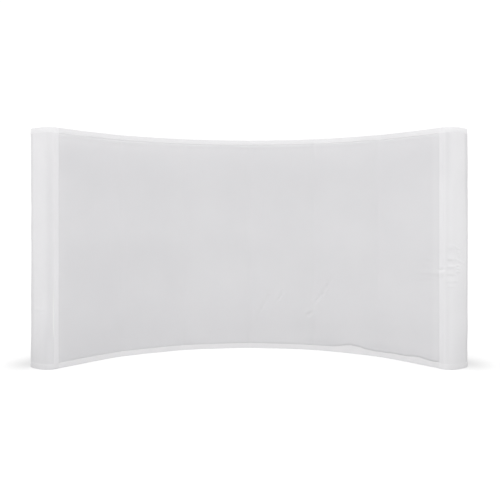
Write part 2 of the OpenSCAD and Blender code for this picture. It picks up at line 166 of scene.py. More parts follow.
def front_push(s, z):
    """How far the cloth stands towards the viewer from the flat bays."""
    rows = between_rows(z)
    give = 0.0024 + 0.0092 * rows
    d = 0.0 * s
    for c in range(1, 6):
        x = np.abs(s - c * BAY)
        d = d + np.sqrt((SLOPE * x) ** 2 + give ** 2) - SLOPE * x
    d = d + 0.004 * rows * np.sin(math.pi * (s / BAY % 1.0)) ** 2
    d = d + 0.0009 * swell(s, z, 5, 0.55) * smooth((z - 0.08) / 0.2) * smooth((2.16 - z) / 0.2)
    # the tight hems pull in, and at the lower right the cloth hangs over its hem
    up, down = z - (LOW + HEM) - lip(s), (HIGH - HEM) - z
    wavy = ripple(s) * np.exp(-(np.maximum(up - 0.012, 0) / 0.020) ** 2)
    d = d + overhang(s) * smooth((up + 0.004) / 0.027) * (0.35 * wavy + 0.65 * np.exp(-(np.maximum(up - 0.014, 0) / 0.075) ** 1.4))
    d = d - 0.0005 * np.exp(-(up / 0.004) ** 2)
    pull = 0.35 + 1.1 * patchy(s, 11, 0.30)
    d = d - 0.0020 * pull * np.exp(-((down - 0.003) / 0.0060) ** 2)
    d = d + 0.0009 * pull * np.exp(-((down - 0.024) / 0.018) ** 2)
    few = smooth((s - 0.62) / 0.1) * smooth((1.46 - s) / 0.1)
    d = d + few * 0.0012 * np.sin(2 * math.pi * s / 0.094) * np.exp(-((z - 0.071) / 0.03) ** 2)
    few = smooth((s - 3.45) / 0.1) * smooth((4.15 - s) / 0.1)
    d = d + few * 0.0008 * np.sin(2 * math.pi * s / 0.083) * np.exp(-((z - 2.170) / 0.03) ** 2)
    # long slack creases in the middle
    d = d + fold(s, z, [(3.10, 0.900), (3.010, 0.790), (2.930, 0.674), (2.888, 0.605), (2.820, 0.525), (2.748, 0.385), (2.700, 0.270)],
                 0.016, 0.0024, 0.5, 0.36)
    d = d + fold(s, z, [(2.960, 0.722), (2.905, 0.628)], 0.012, 0.0054, 0.4, 0.05)
    d = d + fold(s, z, [(2.900, 0.622), (2.868, 0.560)], 0.009, 0.0041, 0.4, 0.04)
    d = d + fold(s, z, [(2.842, 0.556), (2.800, 0.500)], 0.009, 0.0024, 0.4, 0.03)
    d = d + fold(s, z, [(2.790, 0.424), (2.708, 0.346)], 0.018, 0.0049, 0.4, 0.05)
    d = d + fold(s, z, [(2.530, 0.740), (2.430, 0.556), (2.380, 0.490)], 0.013, 0.0023, 0.5, 0.16)
    d = d + fold(s, z, [(2.456, 0.590), (2.384, 0.500)], 0.009, 0.0054, 0.4, 0.04)
    d = d + fold(s, z, [(2.330, 0.620), (2.276, 0.505), (2.190, 0.365), (2.165, 0.255)], 0.014, 0.0030, 0.5, 0.18)
    d = d + fold(s, z, [(2.322, 0.605), (2.292, 0.545)], 0.009, 0.0046, 0.4, 0.03)
    d = d + fold(s, z, [(2.340, 0.400), (2.316, 0.340)], 0.009, 0.0032, 0.4, 0.03)
    d = d + fold(s, z, [(2.190, 0.340), (2.166, 0.280)], 0.010, 0.0035, 0.4, 0.03)
    d = d + fold(s, z, [(2.462, 0.952), (2.500, 0.860)], 0.013, 0.0009, 0.5, 0.06)
    # the pinch at the right-hand seam
    grow = smooth((s - 3.90) / 0.27)
    d = d + grow * (0.0046 * np.exp(-((z - (0.893 + 0.10 * (s - 4.18))) / np.where(z > 0.893 + 0.10 * (s - 4.18), 0.034, 0.026)) ** 2))
    d = d + fold(s, z, [(3.90, 0.850), (4.05, 0.858), (4.175, 0.862)], 0.012, 0.0012, 0.3, 0.10)
    d = d + fold(s, z, [(3.92, 0.790), (4.06, 0.806), (4.170, 0.812)], 0.014, 0.0011, 0.4, 0.10)
    d = d + fold(s, z, [(3.96, 1.000), (4.07, 0.990), (4.170, 0.975)], 0.016, 0.0009, 0.4, 0.10)
    side = smooth(s / 0.012) * smooth((WIDE - s) / 0.014)
    return d * side + seam_push(1, z + 0.12 * (WIDE - s)) * (1 - smooth((WIDE - s) / 0.040))


def hem_raise(z):
    """The doubled bands stand out by a layer of cloth, with stitched dimples."""
    e = np.minimum(z - LOW, HIGH - z)
    up = 0.00075 * (1 - smooth((e - (HEM - 0.0009)) / 0.0016))
    for at in (HEM - 0.0050, HEM - 0.0110):
        up = up - 0.00035 * np.exp(-((e - at) / 0.0012) ** 2) * (e < HEM)
    return up


def front_dir(s):
    """The outward direction, in plan: square to each bay, and turning between bays near a column."""
    k = np.clip((s / BAY).astype(int), 0, 5)
    f = s / BAY - k
    mid = (k - 2.5) * TURN
    col = np.where(f < 0.5, k, k + 1)
    near = np.minimum(f, 1 - f) * BAY
    a = mid + ((col - 3) * TURN - mid) * (1 - smooth(near / 0.07))
    return np.stack([-np.sin(a), -np.cos(a), 0 * a], -1)


def front_at(s, z, off=0.0, hem=False):
    """Points of the front, off metres behind its outer face."""
    s, z = np.broadcast_arrays(np.asarray(s, float), np.asarray(z, float))
    k = np.clip((s / BAY).astype(int), 0, 5)
    f = s / BAY - k
    xy = VERT[k] + (VERT[k + 1] - VERT[k]) * f[..., None]
    arch = 4 * f * (1 - f)
    edge = smooth((0.16 - (z - LOW)) / 0.16) - smooth((0.16 - (HIGH - z)) / 0.16)
    droop = 0.42 * overhang(s) * ripple(s) * smooth((WIDE - s) / 0.014) * np.exp(-((z - LOW - HEM - lip(s) - 0.010) / 0.0085) ** 2)
    zz = z + 0.0030 * arch * edge - droop
    p = np.concatenate([xy, zz[..., None]], -1)
    d = front_push(s, z) + (hem_raise(z) if hem else 0.0) - off
    return p + front_dir(s) * np.asarray(d)[..., None]


def dome_of(p, b):
    c = np.maximum(np.cos(p), 0) ** (2 / POWER)
    q = np.sign(np.sin(p)) * np.abs(np.sin(p)) ** (2 / POWER)
    return FLAT + b * c, HALF * q


_p = np.linspace(-math.pi / 2, math.pi / 2, 4001)
_u, _w = dome_of(_p, BULGE - FLAT)
_len = np.concatenate([[0], np.cumsum(np.hypot(np.diff(_u), np.diff(_w)))])
ROUND = float(_len[-1])
CAP = FLAT + ROUND + FLAT + LAP           # from the front seam to the rear edge


def cap_push(side, s, z):
    """Slow unevenness that the cloth and the liner behind it share."""
    inside = smooth(s / 0.05) * smooth((CAP - 0.06 - s) / 0.05)
    d = -0.0034 * np.exp(-((s - 0.088) / 0.026) ** 2) * smooth((z - 0.02) / 0.25) * smooth((2.22 - z) / 0.25)
    d = d + 0.0014 * swell(s * 1.6, z, 21 if side < 0 else 33, 0.42) * inside
    if side < 0:
        d = d + 0.0022 * np.exp(-(((s - 0.19) * 0.8 + (z - 0.25) * 0.45) / 0.035) ** 2) * np.exp(-((z - 0.25) / 0.14) ** 2)
    # the tight top hem leans in a little
    lean = np.clip((z - (HIGH - 0.060)) / 0.060, 0, 1) ** 1.6 * smooth((s - 0.035) / 0.05) * smooth((CAP - 0.09 - s) / 0.06)
    d = d - (0.0070 if side > 0 else 0.0040) * lean
    return d * smooth((CAP - 0.05 - s) / 0.04) * smooth(s / 0.015)


def cap_wrinkle(side, s, z):
    """What only the cloth does: pinched ridges that stand off the liner, and small creases."""
    d = 0.0 * s
    if side < 0:
        d = d + fold(s, z, [(0.060, 0.86), (0.059, 0.52), (0.058, 0.18)], 0.0058, 0.0034, 0.5, 0.25)
        d = d + ridge(s, z, [(0.104, 0.95), (0.100, 0.50), (0.092, 0.10)], 0.0050, 0.0013, 0.25)
        d = d + ridge(s, z, [(0.105, 0.556), (0.19, 0.549), (0.28, 0.553)], 0.0062, 0.0026, 0.05)
        d = d + ridge(s, z, [(0.120, 0.512), (0.21, 0.508)], 0.0065, 0.0014, 0.03)
    else:
        for a, b, above, below, h in (
            ((0.066, 1.0210), (0.184, 1.0190), 0.026, 0.0100, 0.0040), ((0.158, 1.0150), (0.300, 0.9620), 0.013, 0.0085, 0.0020),
            ((0.058, 0.9515), (0.172, 0.9500), 0.019, 0.0100, 0.0042), ((0.060, 0.8830), (0.168, 0.8805), 0.028, 0.0095, 0.0030),
            ((0.050, 0.8110), (0.184, 0.8200), 0.032, 0.0095, 0.0034), ((0.066, 0.7660), (0.164, 0.7670), 0.021, 0.0085, 0.0024),
            ((0.072, 1.1280), (0.152, 1.1260), 0.022, 0.0120, 0.0030), ((0.156, 1.0820), (0.216, 1.0815), 0.012, 0.0120, 0.0030),
            ((0.172, 1.0450), (0.236, 1.0400), 0.014, 0.0100, 0.0016), ((0.152, 0.9632), (0.212, 0.9618), 0.0064, 0.0120, 0.0044),
            ((0.152, 0.9354), (0.214, 0.9338), 0.0064, 0.0120, 0.0048), ((0.152, 0.9067), (0.216, 0.9057), 0.0066, 0.0130, 0.0056),
        ):
            d = d + tuck(s, z, a, b, above, below, 0.72 * h)
        for a, b, w, h in (
            ((0.098, 1.1520), (0.152, 1.1430), 0.0074, 0.0032),
            ((0.144, 1.1500), (0.182, 1.1120), 0.0074, 0.0034), ((0.158, 1.1180), (0.214, 1.1160), 0.0078, 0.0032),
        ):
            d = d + ridge(s, z, [a, b], w, 0.72 * h, 0.030)
    for k in range(7):
        zk = 0.23 + 0.29 * k + (0.11 if side > 0 else 0.0)
        d = d + ridge(s, z, [(0.052, zk), (0.098, zk + 0.012 * math.sin(7.1 * k))], 0.0080, 0.0006, 0.02)
    return d * smooth(s / 0.010) + seam_push(side, z - 0.10 * s) * (1 - smooth((s - 0.022) / 0.060))


def band_raise(s, z):
    """The doubled upright band beside the front seam, and both hems."""
    side = 0.00075 * (1 - smooth((s - (HEM - 0.0009)) / 0.0016))
    for at in (HEM - 0.0050, HEM - 0.0110, 0.0045):
        side = side - 0.00035 * np.exp(-((s - at) / 0.0012) ** 2) * (s < HEM)
    rear = 0.0005 * smooth((s - (CAP - 0.030)) / 0.0016)
    return np.maximum(np.maximum(side, rear), hem_raise(z))


def cap_at(side, s, z, off=0.0, cloth=True, hem=False):
    """Points of a round end, s from the front seam, off metres inside the cover's outer face."""
    s, z = np.broadcast_arrays(np.asarray(s, float), np.asarray(z, float))
    t = (z - LOW) / (HIGH - LOW)
    b = (BULGE - FLAT) * (1 + side * 0.085 * 4 * t * (1 - t))
    a = np.interp(s - FLAT, _len, _p)
    u, w = dome_of(a, b)
    past = s - FLAT - ROUND
    u = np.where(s < FLAT, s, np.where(past > 0, FLAT - past, u))
    w = np.where(s < FLAT, -HALF, np.where(past > 0, HALF, w))
    e = 1e-5
    lo, hi = np.clip(a - e, -math.pi / 2, math.pi / 2), np.clip(a + e, -math.pi / 2, math.pi / 2)
    u0, w0 = dome_of(lo, b)
    u1, w1 = dome_of(hi, b)
    nu, nw = w1 - w0, -(u1 - u0)
    nu = np.where((s < FLAT) | (past > 0), 0.0, nu)
    nw = np.where(s < FLAT, -1.0, np.where(past > 0, 1.0, nw))
    size = np.hypot(nu, nw)
    nu, nw = nu / size, nw / size
    d = cap_push(side, s, z) - off
    if cloth:
        d = d + cap_wrinkle(side, s, z)
    if hem:
        d = d + band_raise(s, z)
    u, w = u + nu * d, w + nw * d
    xy = column_xy(side * 3 * TURN, R_F + DEPTH / 2 + w, side * u)
    return np.concatenate([xy, z[..., None] + 0 * xy[..., :1]], -1)


# --------------------------------------------------------------------------
# Meshes
# --------------------------------------------------------------------------
def mesh_object(name, verts, faces, smooth_faces=True, uv=None, ply_and_painted_shade=None):
    me = bpy.data.meshes.new(name)
    me.from_pydata(verts.tolist(), [], faces.tolist() if hasattr(faces, "tolist") else faces)
    me.polygons.foreach_set("use_smooth", [smooth_faces] * len(me.polygons))
    if uv is not None:
        corner = np.zeros(len(me.loops), np.int32)
        me.loops.foreach_get("vertex_index", corner)
        me.uv_layers.new(name="cloth").uv.foreach_set("vector", uv[corner].astype(np.float32).ravel())
    # a per-point value that mixes the single and the doubled cloth's colours, and also carries painted shade and light
    if ply_and_painted_shade is not None:
        me.attributes.new("ply_and_painted_shade", "FLOAT", "POINT").data.foreach_set("value", ply_and_painted_shade.astype(np.float32))
    me.update()
    ob = bpy.data.objects.new(name, me)
    bpy.context.scene.collection.objects.link(ob)
    return ob


def two_faced(name, outer, inner, s, z, flip, ply_and_painted_shade=None, back_ply_and_painted_shade=None):
    """A closed thin sheet from its two faces, rows by columns, with a rounded rim."""
    rows, cols = outer.shape[:2]
    n = rows * cols
    ring = [(0, c) for c in range(cols)] + [(r, cols - 1) for r in range(1, rows)]
    ring += [(rows - 1, c) for c in range(cols - 2, -1, -1)] + [(r, 0) for r in range(rows - 2, 0, -1)]
    ring = np.array(ring)
    inside = np.clip(ring, [1, 1], [rows - 2, cols - 2])
    o, i = outer[ring[:, 0], ring[:, 1]], inner[ring[:, 0], ring[:, 1]]
    away = o - outer[inside[:, 0], inside[:, 1]]
    away /= np.linalg.norm(away, axis=1)[:, None]
    thick = np.linalg.norm(o - i, axis=1)[:, None]
    mid = (o + i) / 2 + away * thick * 0.45
    verts = np.concatenate([outer.reshape(-1, 3), inner.reshape(-1, 3), mid])
    idx = np.arange(n).reshape(rows, cols)
    a, b, c, d = idx[:-1, :-1], idx[:-1, 1:], idx[1:, 1:], idx[1:, :-1]
    front = np.stack([a, b, c, d], -1).reshape(-1, 4)
    back = front[:, ::-1] + n
    at = ring[:, 0] * cols + ring[:, 1]
    nxt = np.roll(at, -1)
    m = 2 * n + np.arange(len(ring))
    mn = np.roll(m, -1)
    rim = np.concatenate([np.stack([nxt, at, m, mn], -1), np.stack([mn, m, at + n, nxt + n], -1)])
    faces = np.concatenate([front, back, rim])
    if flip:
        faces = faces[:, ::-1]
    place = np.stack(np.broadcast_arrays(s[None, :], z[:, None]), -1).reshape(-1, 2)
    uv = np.concatenate([place, place, place[at]])
    if ply_and_painted_shade is not None:
        back_ply_and_painted_shade = ply_and_painted_shade if back_ply_and_painted_shade is None else back_ply_and_painted_shade
        ply_and_painted_shade = np.concatenate([ply_and_painted_shade.ravel(), back_ply_and_painted_shade.ravel(), ply_and_painted_shade.ravel()[at]])
    return mesh_object(name, verts, faces, True, uv, ply_and_painted_shade)


def steps(stops):
    """Values from a list of (from, to, step), each stretch evenly divided, with no value twice."""
    out = []
    for a, b, step in stops:
        n = max(1, int(round((b - a) / step)))
        out.extend(np.linspace(a, b, n + 1).tolist())
    out = np.array(sorted(out))
    return out[np.concatenate([[True], np.diff(out) > 2e-4])]


def edge_rows(fine, middle, tall=0.0720):
    """Heights of the rows: close together at the edges, the hems and their stitching."""
    one = [(0, 0.0012, 0.0012), (0.0012, 0.0050, 0.0038), (0.0050, 0.0370, 0.0107), (0.0370, 0.0470, 0.0020),
           (0.0470, 0.0490, 0.0020), (0.0490, 0.0512, 0.0011), (0.0512, 0.0686, 0.0029), (0.0686, tall, 0.0035), (tall, 0.1300, fine)]
    low = [(LOW + a, LOW + b, c) for a, b, c in one]
    high = [(HIGH - b, HIGH - a, c) for a, b, c in one]
    return steps(low + middle + high)


def painted_front_shade(s, z):
    """Painted shade and light in the front cloth's colour: greyer under the top hem, at the left and at the upper
    right, lighter low in the middle, darker just above the lower hem, and lighter beside both seams.
    """
    low = np.exp(-((z - 0.84) / 0.30) ** 2)
    d = -0.145 * np.exp(-((z - 1.94) / 0.19) ** 2) * smooth((2.19 - z) / 0.13) - 0.085 * (1 - smooth((s - 0.8) / 0.7)) * smooth((2.16 - z) / 0.12)
    d = d + 0.068 * low * smooth((s - 1.2) / 0.5) * (1 - smooth((s - 3.5) / 0.5)) + 0.062 * low * np.exp(-((s - 1.95) / 0.40) ** 2)
    d = d - 0.080 * np.exp(-((s - 3.72) / 0.35) ** 2) * smooth((z - 1.1) / 0.3)
    # painted shade above the lower hem, strongest at the right, standing in for the shadow under the cloth that hangs
    # over it
    d = d - 0.060 * np.exp(-((z - 0.125) / 0.035) ** 2) * smooth((s - 2.8) / 0.3) * (1 - smooth((s - 3.85) / 0.2))
    d = d - (0.03 + 0.06 * np.exp(-((s - 1.40) / 0.25) ** 2) + 0.17 * smooth((s - 2.55) / 0.25)) * np.exp(-((z - 0.088) / 0.030) ** 2)
    # painted light beside the left and the right seam
    d = d + 0.060 * (1 - smooth(s / 0.12)) + 0.130 * smooth((s - WIDE + 0.10) / 0.06)
    return np.maximum(0.24 + d, 0.0)


def cover_front():
    marks = [(0, 0.0012, 0.0012), (0.0012, 0.06, 0.0098), (WIDE - 0.40, WIDE - 0.0012, 0.0130), (WIDE - 0.0012, WIDE, 0.0012)]
    ends = [0.06] + [c * BAY for c in range(1, 6)] + [WIDE - 0.40]
    for c in range(6):
        a, b = ends[c], ends[c + 1]
        lo = a if c == 0 else a + 0.045
        hi = b if c == 5 else b - 0.045
        if c:
            marks.append((a, lo, 0.0090))
        if c < 5:
            marks.append((hi, b, 0.0090))
        marks.append((lo, hi, 0.0130 if c in (3, 4) else 0.0240))
    s = steps(marks)
    z = edge_rows(0.0090, [(LOW + 0.13, 0.34, 0.015), (0.34, 1.10, 0.0130), (1.10, HIGH - 0.13, 0.023)], 0.1070)
    gs, gz = s[None, :], z[:, None]
    outer = front_at(gs, gz, 0.0, True)
    inner = front_at(gs, gz, CLOTH)
    # lighter where the cloth is doubled; the top band is greyer at the left and near s = 3.6, and between the bands the
    # value carries the painted shade and light of the front
    double = (hem_raise(np.broadcast_to(gz, outer.shape[:2])) > 0.0002) | (gz < LOW + HEM + lip(gs))
    top = 0.93 - 0.13 * (1 - smooth((gs - 1.5) / 0.5)) - 0.26 * np.exp(-((gs - 3.6) / 0.26) ** 2)
    return two_faced("cover_front", outer, inner, s, z, False, np.where(double, np.where(gz < 1.0, 0.894, top), painted_front_shade(gs, gz)))


def cover_end(side, name):
    s = steps([(0, 0.0012, 0.0012), (0.0012, 0.0036, 0.0012), (0.0036, 0.0056, 0.0010), (0.0056, 0.0370, 0.0078),
               (0.0370, 0.0470, 0.0020), (0.0470, 0.0490, 0.0020), (0.0490, 0.0512, 0.0011), (0.0512, 0.24, 0.0072),
               (0.24, CAP - 0.075, 0.0088), (CAP - 0.075, CAP - 0.031, 0.0110), (CAP - 0.031, CAP - 0.028, 0.0015),
               (CAP - 0.028, CAP - 0.0012, 0.0088), (CAP - 0.0012, CAP, 0.0012)])
    mid = [(LOW + 0.13, 0.72, 0.014), (0.72, 1.22, 0.0042 if side > 0 else 0.012), (1.22, HIGH - 0.13, 0.018)]
    z = edge_rows(0.010, mid)
    gs, gz = s[None, :], z[:, None]
    outer = cap_at(side, gs, gz, 0.0, True, True)
    inner = cap_at(side, gs, gz, CLOTH, True)
    gs, gz = np.broadcast_arrays(gs, gz)
    # Painted shade: darker in the valley beside the upright band, and on the left also towards the bottom; the bands
    # are lighter as doubled cloth, their tone changing with height.
    if side < 0:
        near = 0.66 - 0.66 * np.exp(-((gs - 0.090) / 0.042) ** 2) * (0.35 + 0.65 * smooth((2.12 - gz) / 0.25)) - 0.42 * smooth((0.60 - gz) / 0.5)
        band = 0.40 + 0.15 * smooth((1.20 - gz) / 0.3)
    else:
        upper = smooth((gz - 1.62) / 0.25)
        near = 0.98 - (0.42 + 0.30 * upper) * np.exp(-((gs - 0.076) / (0.026 + 0.010 * upper)) ** 2)
        band = 0.60 - 0.34 * upper
    painted_edge_shade = smooth((1.2 - gz) / 0.3) if side < 0 else smooth((gz - 1.35) / 0.3)     # where the far edge is greyer
    near = 0.87 * np.maximum(near, 0.0)
    # painted light: on the right end, a lighter patch on the outer part at mid height
    if side > 0:
        near = near + 0.13 * smooth((gs - 0.13) / 0.06) * smooth((gz - 0.70) / 0.25) * (1 - smooth((gz - 1.40) / 0.25))
    # painted shade: greyer towards the far edge, where the end turns away
    near = near * (1 - (0.8 + 0.2 * painted_edge_shade) * smooth((gs - 0.280 + 0.014 * painted_edge_shade) / 0.040))
    # painted shade: the left end's low hem is greyer
    low_hem = 0.40 if side < 0 else 1.0
    ply_and_painted_shade = np.where(hem_raise(gz) > 0.0002, np.where(gz < 1.0, low_hem, 0.87), np.where(band_raise(gs, gz) > 0.0002, 0.87 * band, near))
    return two_faced(name, outer, inner, s, z, side < 0, ply_and_painted_shade)


def liner(side, name):
    """The bowed plastic sheet that shapes a round end, from its front lap to its rear lap."""
    s = steps([(-0.016, -0.0148, 0.0012), (-0.0148, 0.02, 0.0115), (0.02, CAP - 0.03, 0.0080), (CAP - 0.03, CAP - 0.0112, 0.0090),
               (CAP - 0.0112, CAP - 0.0100, 0.0012)])
    z = steps([(LOW + 0.003, LOW + 0.0042, 0.0012), (LOW + 0.0042, HIGH - 0.0042, 0.030), (HIGH - 0.0042, HIGH - 0.003, 0.0012)])
    gs, gz = s[None, :], z[:, None]
    outer = cap_at(side, gs, gz, 0.0014, False)
    inner = cap_at(side, gs, gz, 0.0014 + LINER_T, False)
    return two_faced(name, outer, inner, s, z, side < 0)


def all_round(side_s, z, off):
    """A band that runs right round the cover: left end, front, right end. side_s are distances on an end, from the seam."""
    front_s = steps([(0.0006, WIDE - 0.0006, 0.030)] + [(c * BAY - 0.03, c * BAY + 0.03, 0.010) for c in range(1, 6)])
    gz = z[:, None]
    left = cap_at(-1, side_s[::-1][None, :], gz, off, False)
    mid = front_at(front_s[None, :], gz, off)
    right = cap_at(1, side_s[None, :], gz, off, False)
    s = np.concatenate([-side_s[::-1], front_s, WIDE + side_s])
    return np.concatenate([left, mid, right], 1), s


def hem_tape(name, z0):
    side_s = steps([(0.0008, CAP - 0.0022, 0.011), (CAP - 0.0022, CAP - 0.0010, 0.0012)])
    z = steps([(z0, z0 + 0.0008, 0.0008), (z0 + 0.0008, z0 + HEM - 0.0008, 0.012), (z0 + HEM - 0.0008, z0 + HEM, 0.0008)])
    outer, s = all_round(side_s, z, CLOTH + 0.00005)
    inner, _ = all_round(side_s, z, CLOTH + 0.00005 + TAPE_T)
    return two_faced(name, outer, inner, s, z, False)


def joined(name, parts):
    bpy.ops.object.select_all(action="DESELECT")
    for p in parts:
        p.select_set(True)
    bpy.context.view_layer.objects.active = parts[0]
    bpy.ops.object.join()
    parts[0].name = name
    return parts[0]


def edge_tape(side, name):
    z0, z1 = LOW + HEM + 0.0005, HIGH - HEM - 0.0005
    z = steps([(z0, z0 + 0.0008, 0.0008), (z0 + 0.0008, z1 - 0.0008, 0.03), (z1 - 0.0008, z1, 0.0008)])
    out = []
    for k, (a, b) in enumerate(((0.0008, 0.0496), (CAP - 0.0450, CAP - 0.0010))):
        s = steps([(a, a + 0.0008, 0.0008), (a + 0.0008, b - 0.0008, 0.0095), (b - 0.0008, b, 0.0008)])
        outer = cap_at(side, s[None, :], z[:, None], CLOTH + 0.00005, False)
        inner = cap_at(side, s[None, :], z[:, None], CLOTH + 0.00005 + TAPE_T, False)
        out.append(two_faced(f"{name}_{k}", outer, inner, s, z, side < 0))
    return joined(name, out)


# One stitch: a short, slightly arched thread whose ends sink in the cloth
SIDES = 5
_ring = np.linspace(0, 2 * math.pi, SIDES, endpoint=False)
_prof = [(-0.50, 0.10, -0.55), (-0.40, 0.85, 0.15), (0.0, 1.0, 0.55), (0.40, 0.85, 0.15), (0.50, 0.10, -0.55)]


def stitches(name, runs, pitch=0.0042, length=0.0034, radius=0.00030):
    """runs: a list of (points, outward directions) closely following a line of sewing."""
    verts, faces, base = [], [], 0
    for pts, nor in runs:
        seg = np.linalg.norm(np.diff(pts, axis=0), axis=1)
        dist = np.concatenate([[0], np.cumsum(seg)])
        count = int(dist[-1] / pitch)
        mids = (np.arange(count) + 0.5) * dist[-1] / count

        def at(v, d):
            return np.stack([np.interp(d, dist, v[:, k]) for k in range(3)], -1)

        centre, out = at(pts, mids), at(nor, mids)
        tangent = at(pts, mids + 0.001) - at(pts, mids - 0.001)
        tangent /= np.linalg.norm(tangent, axis=1)[:, None]
        out -= (out * tangent).sum(1)[:, None] * tangent
        out /= np.linalg.norm(out, axis=1)[:, None]
        across = np.cross(tangent, out)
        for along, wide, high in _prof:
            ring = centre[:, None, :] + (tangent * along * length)[:, None, :] + (out * high * radius)[:, None, :]
            ring = ring + wide * radius * (np.cos(_ring)[None, :, None] * across[:, None, :] + np.sin(_ring)[None, :, None] * out[:, None, :])
            verts.append(ring)
        block = np.concatenate([v for v in verts[-len(_prof):]], 1)     # count x (5 * SIDES) x 3
        del verts[-len(_prof):]
        verts.append(block.reshape(-1, 3))
        one = []
        for r in range(len(_prof) - 1):
            for k in range(SIDES):
                k2 = (k + 1) % SIDES
                one.append([r * SIDES + k, r * SIDES + k2, (r + 1) * SIDES + k2, (r + 1) * SIDES + k])
        per = len(_prof) * SIDES
        for q in range(count):
            o = base + q * per
            faces.extend([[o + x for x in f] for f in one])
            faces.append([o + x for x in range(SIDES)][::-1])
            faces.append([o + (len(_prof) - 1) * SIDES + x for x in range(SIDES)])
        base += count * per
    return mesh_object(name, np.concatenate(verts), faces)


def line_on(surface, s, z, **kw):
    """Points and outward directions along a line on a surface."""
    s, z = np.broadcast_arrays(s, z)
    p = surface(s, z, **kw)
    e = 0.001
    ds = surface(s + e, z, **kw) - surface(s - e, z, **kw)
    dz = surface(s, z + e, **kw) - surface(s, z - e, **kw)
    return p, np.cross(ds, dz)


def sewing():
    made = []
    rows = {"low": [LOW + HEM - 0.0050, LOW + HEM - 0.0110], "high": [HIGH - HEM + 0.0050, HIGH - HEM + 0.0110]}
    for where, heights in rows.items():
        runs = []
        for h in heights:
            s = np.arange(0.003, WIDE - 0.003, 0.004)
            runs.append(line_on(front_at, s, np.full_like(s, h), hem=True))
            for side in (-1, 1):
                s = np.arange(0.003, CAP - 0.003, 0.004)
                p, n = line_on(lambda a, b, hem: cap_at(side, a, b, 0.0, True, hem), s, np.full_like(s, h), hem=True)
                runs.append((p, n * side))
        made.append(stitches(f"hem_stitching_{where}", runs))
    for side, word in ((-1, "left"), (1, "right")):
        runs = []
        for at in (HEM - 0.0050, HEM - 0.0110, 0.0045):
            z = np.arange(LOW + HEM + 0.002, HIGH - HEM - 0.002, 0.004)
            p, n = line_on(lambda a, b, hem: cap_at(side, a, b, 0.0, True, hem), np.full_like(z, at), z, hem=True)
            runs.append((p, n * side))
        made.append(stitches(f"band_stitching_{word}", runs))
    return made


# --------------------------------------------------------------------------
# Materials
# --------------------------------------------------------------------------
class Nodes:
    """Small helper that adds nodes to a material and links them."""

    def __init__(self, name):
        self.mat = bpy.data.materials.new(name)
        self.mat.use_nodes = True
        self.tree = self.mat.node_tree
        self.bsdf = self.tree.nodes["Principled BSDF"]

    def add(self, kind, **sets):
        n = self.tree.nodes.new(kind)
        for k, v in sets.items():
            setattr(n, k, v)
        return n

    def link(self, a, b):
        self.tree.links.new(a, b)

    def coords(self, scale, kind="Object", turn=(0, 0, 0)):
        m = self.add("ShaderNodeMapping")
        m.inputs["Scale"].default_value = scale
        m.inputs["Rotation"].default_value = turn
        if kind == "cloth":
            u = self.add("ShaderNodeUVMap", uv_map="cloth")
            self.link(u.outputs["UV"], m.inputs["Vector"])
        else:
            t = self.add("ShaderNodeTexCoord")
            self.link(t.outputs[kind], m.inputs["Vector"])
        return m.outputs["Vector"]

    def noise(self, vector, scale, detail=2.0, rough=0.5):
        n = self.add("ShaderNodeTexNoise")
        n.inputs["Scale"].default_value = scale
        n.inputs["Detail"].default_value = detail
        n.inputs["Roughness"].default_value = rough
        self.link(vector, n.inputs["Vector"])
        return n.outputs["Fac"]

    def math(self, op, a, b=None, clamp=False):
        n = self.add("ShaderNodeMath", operation=op, use_clamp=clamp)
        for k, x in enumerate((a, b)):
            if x is None:
                continue
            if isinstance(x, (int, float)):
                n.inputs[k].default_value = x
            else:
                self.link(x, n.inputs[k])
        return n.outputs[0]

    def remap(self, x, a, b, c, d):
        n = self.add("ShaderNodeMapRange")
        for k, v in zip(("From Min", "From Max", "To Min", "To Max"), (a, b, c, d)):
            n.inputs[k].default_value = v
        self.link(x, n.inputs["Value"])
        return n.outputs["Result"]

    def mix(self, fac, a, b):
        n = self.add("ShaderNodeMix", data_type="RGBA")
        for k, x in ((0, fac), (6, a), (7, b)):
            if isinstance(x, (int, float)):
                n.inputs[k].default_value = x
            elif isinstance(x, tuple):
                n.inputs[k].default_value = (*x, 1.0)
            else:
                self.link(x, n.inputs[k])
        return n.outputs[2]

    def bump(self, height, distance, strength=1.0, after=None):
        n = self.add("ShaderNodeBump")
        n.inputs["Distance"].default_value = distance
        n.inputs["Strength"].default_value = strength
        self.link(height, n.inputs["Height"])
        if after is not None:
            self.link(after, n.inputs["Normal"])
        return n.outputs["Normal"]

    def done(self, color, rough, normal=None, **fixed):
        self.link(color, self.bsdf.inputs["Base Color"])
        self.link(rough, self.bsdf.inputs["Roughness"])
        if normal is not None:
            self.link(normal, self.bsdf.inputs["Normal"])
        for k, v in fixed.items():
            self.bsdf.inputs[k.replace("_", " ")].default_value = v
        return self.mat


def knit_height(m, pitch, course):
    """Rows of small interlocked V loops, as a height from 0 to 1."""
    u = m.add("ShaderNodeUVMap", uv_map="cloth")
    xyz = m.add("ShaderNodeSeparateXYZ")
    m.link(u.outputs["UV"], xyz.inputs[0])
    wale = m.math("MULTIPLY", xyz.outputs["X"], 2 * math.pi / pitch)
    side = m.math("ABSOLUTE", m.math("SINE", m.math("MULTIPLY", wale, 0.5)))
    lift = m.math("MULTIPLY", side, course * 0.7)
    row = m.math("SINE", m.math("MULTIPLY", m.math("ADD", xyz.outputs["Y"], lift), 2 * math.pi / course))
    row = m.math("MULTIPLY", m.math("ADD", row, 1.0), 0.5)
    groove = m.math("POWER", side, 0.6)
    return m.math("MULTIPLY", m.math("ADD", m.math("MULTIPLY", row, 0.6), 0.4), groove)


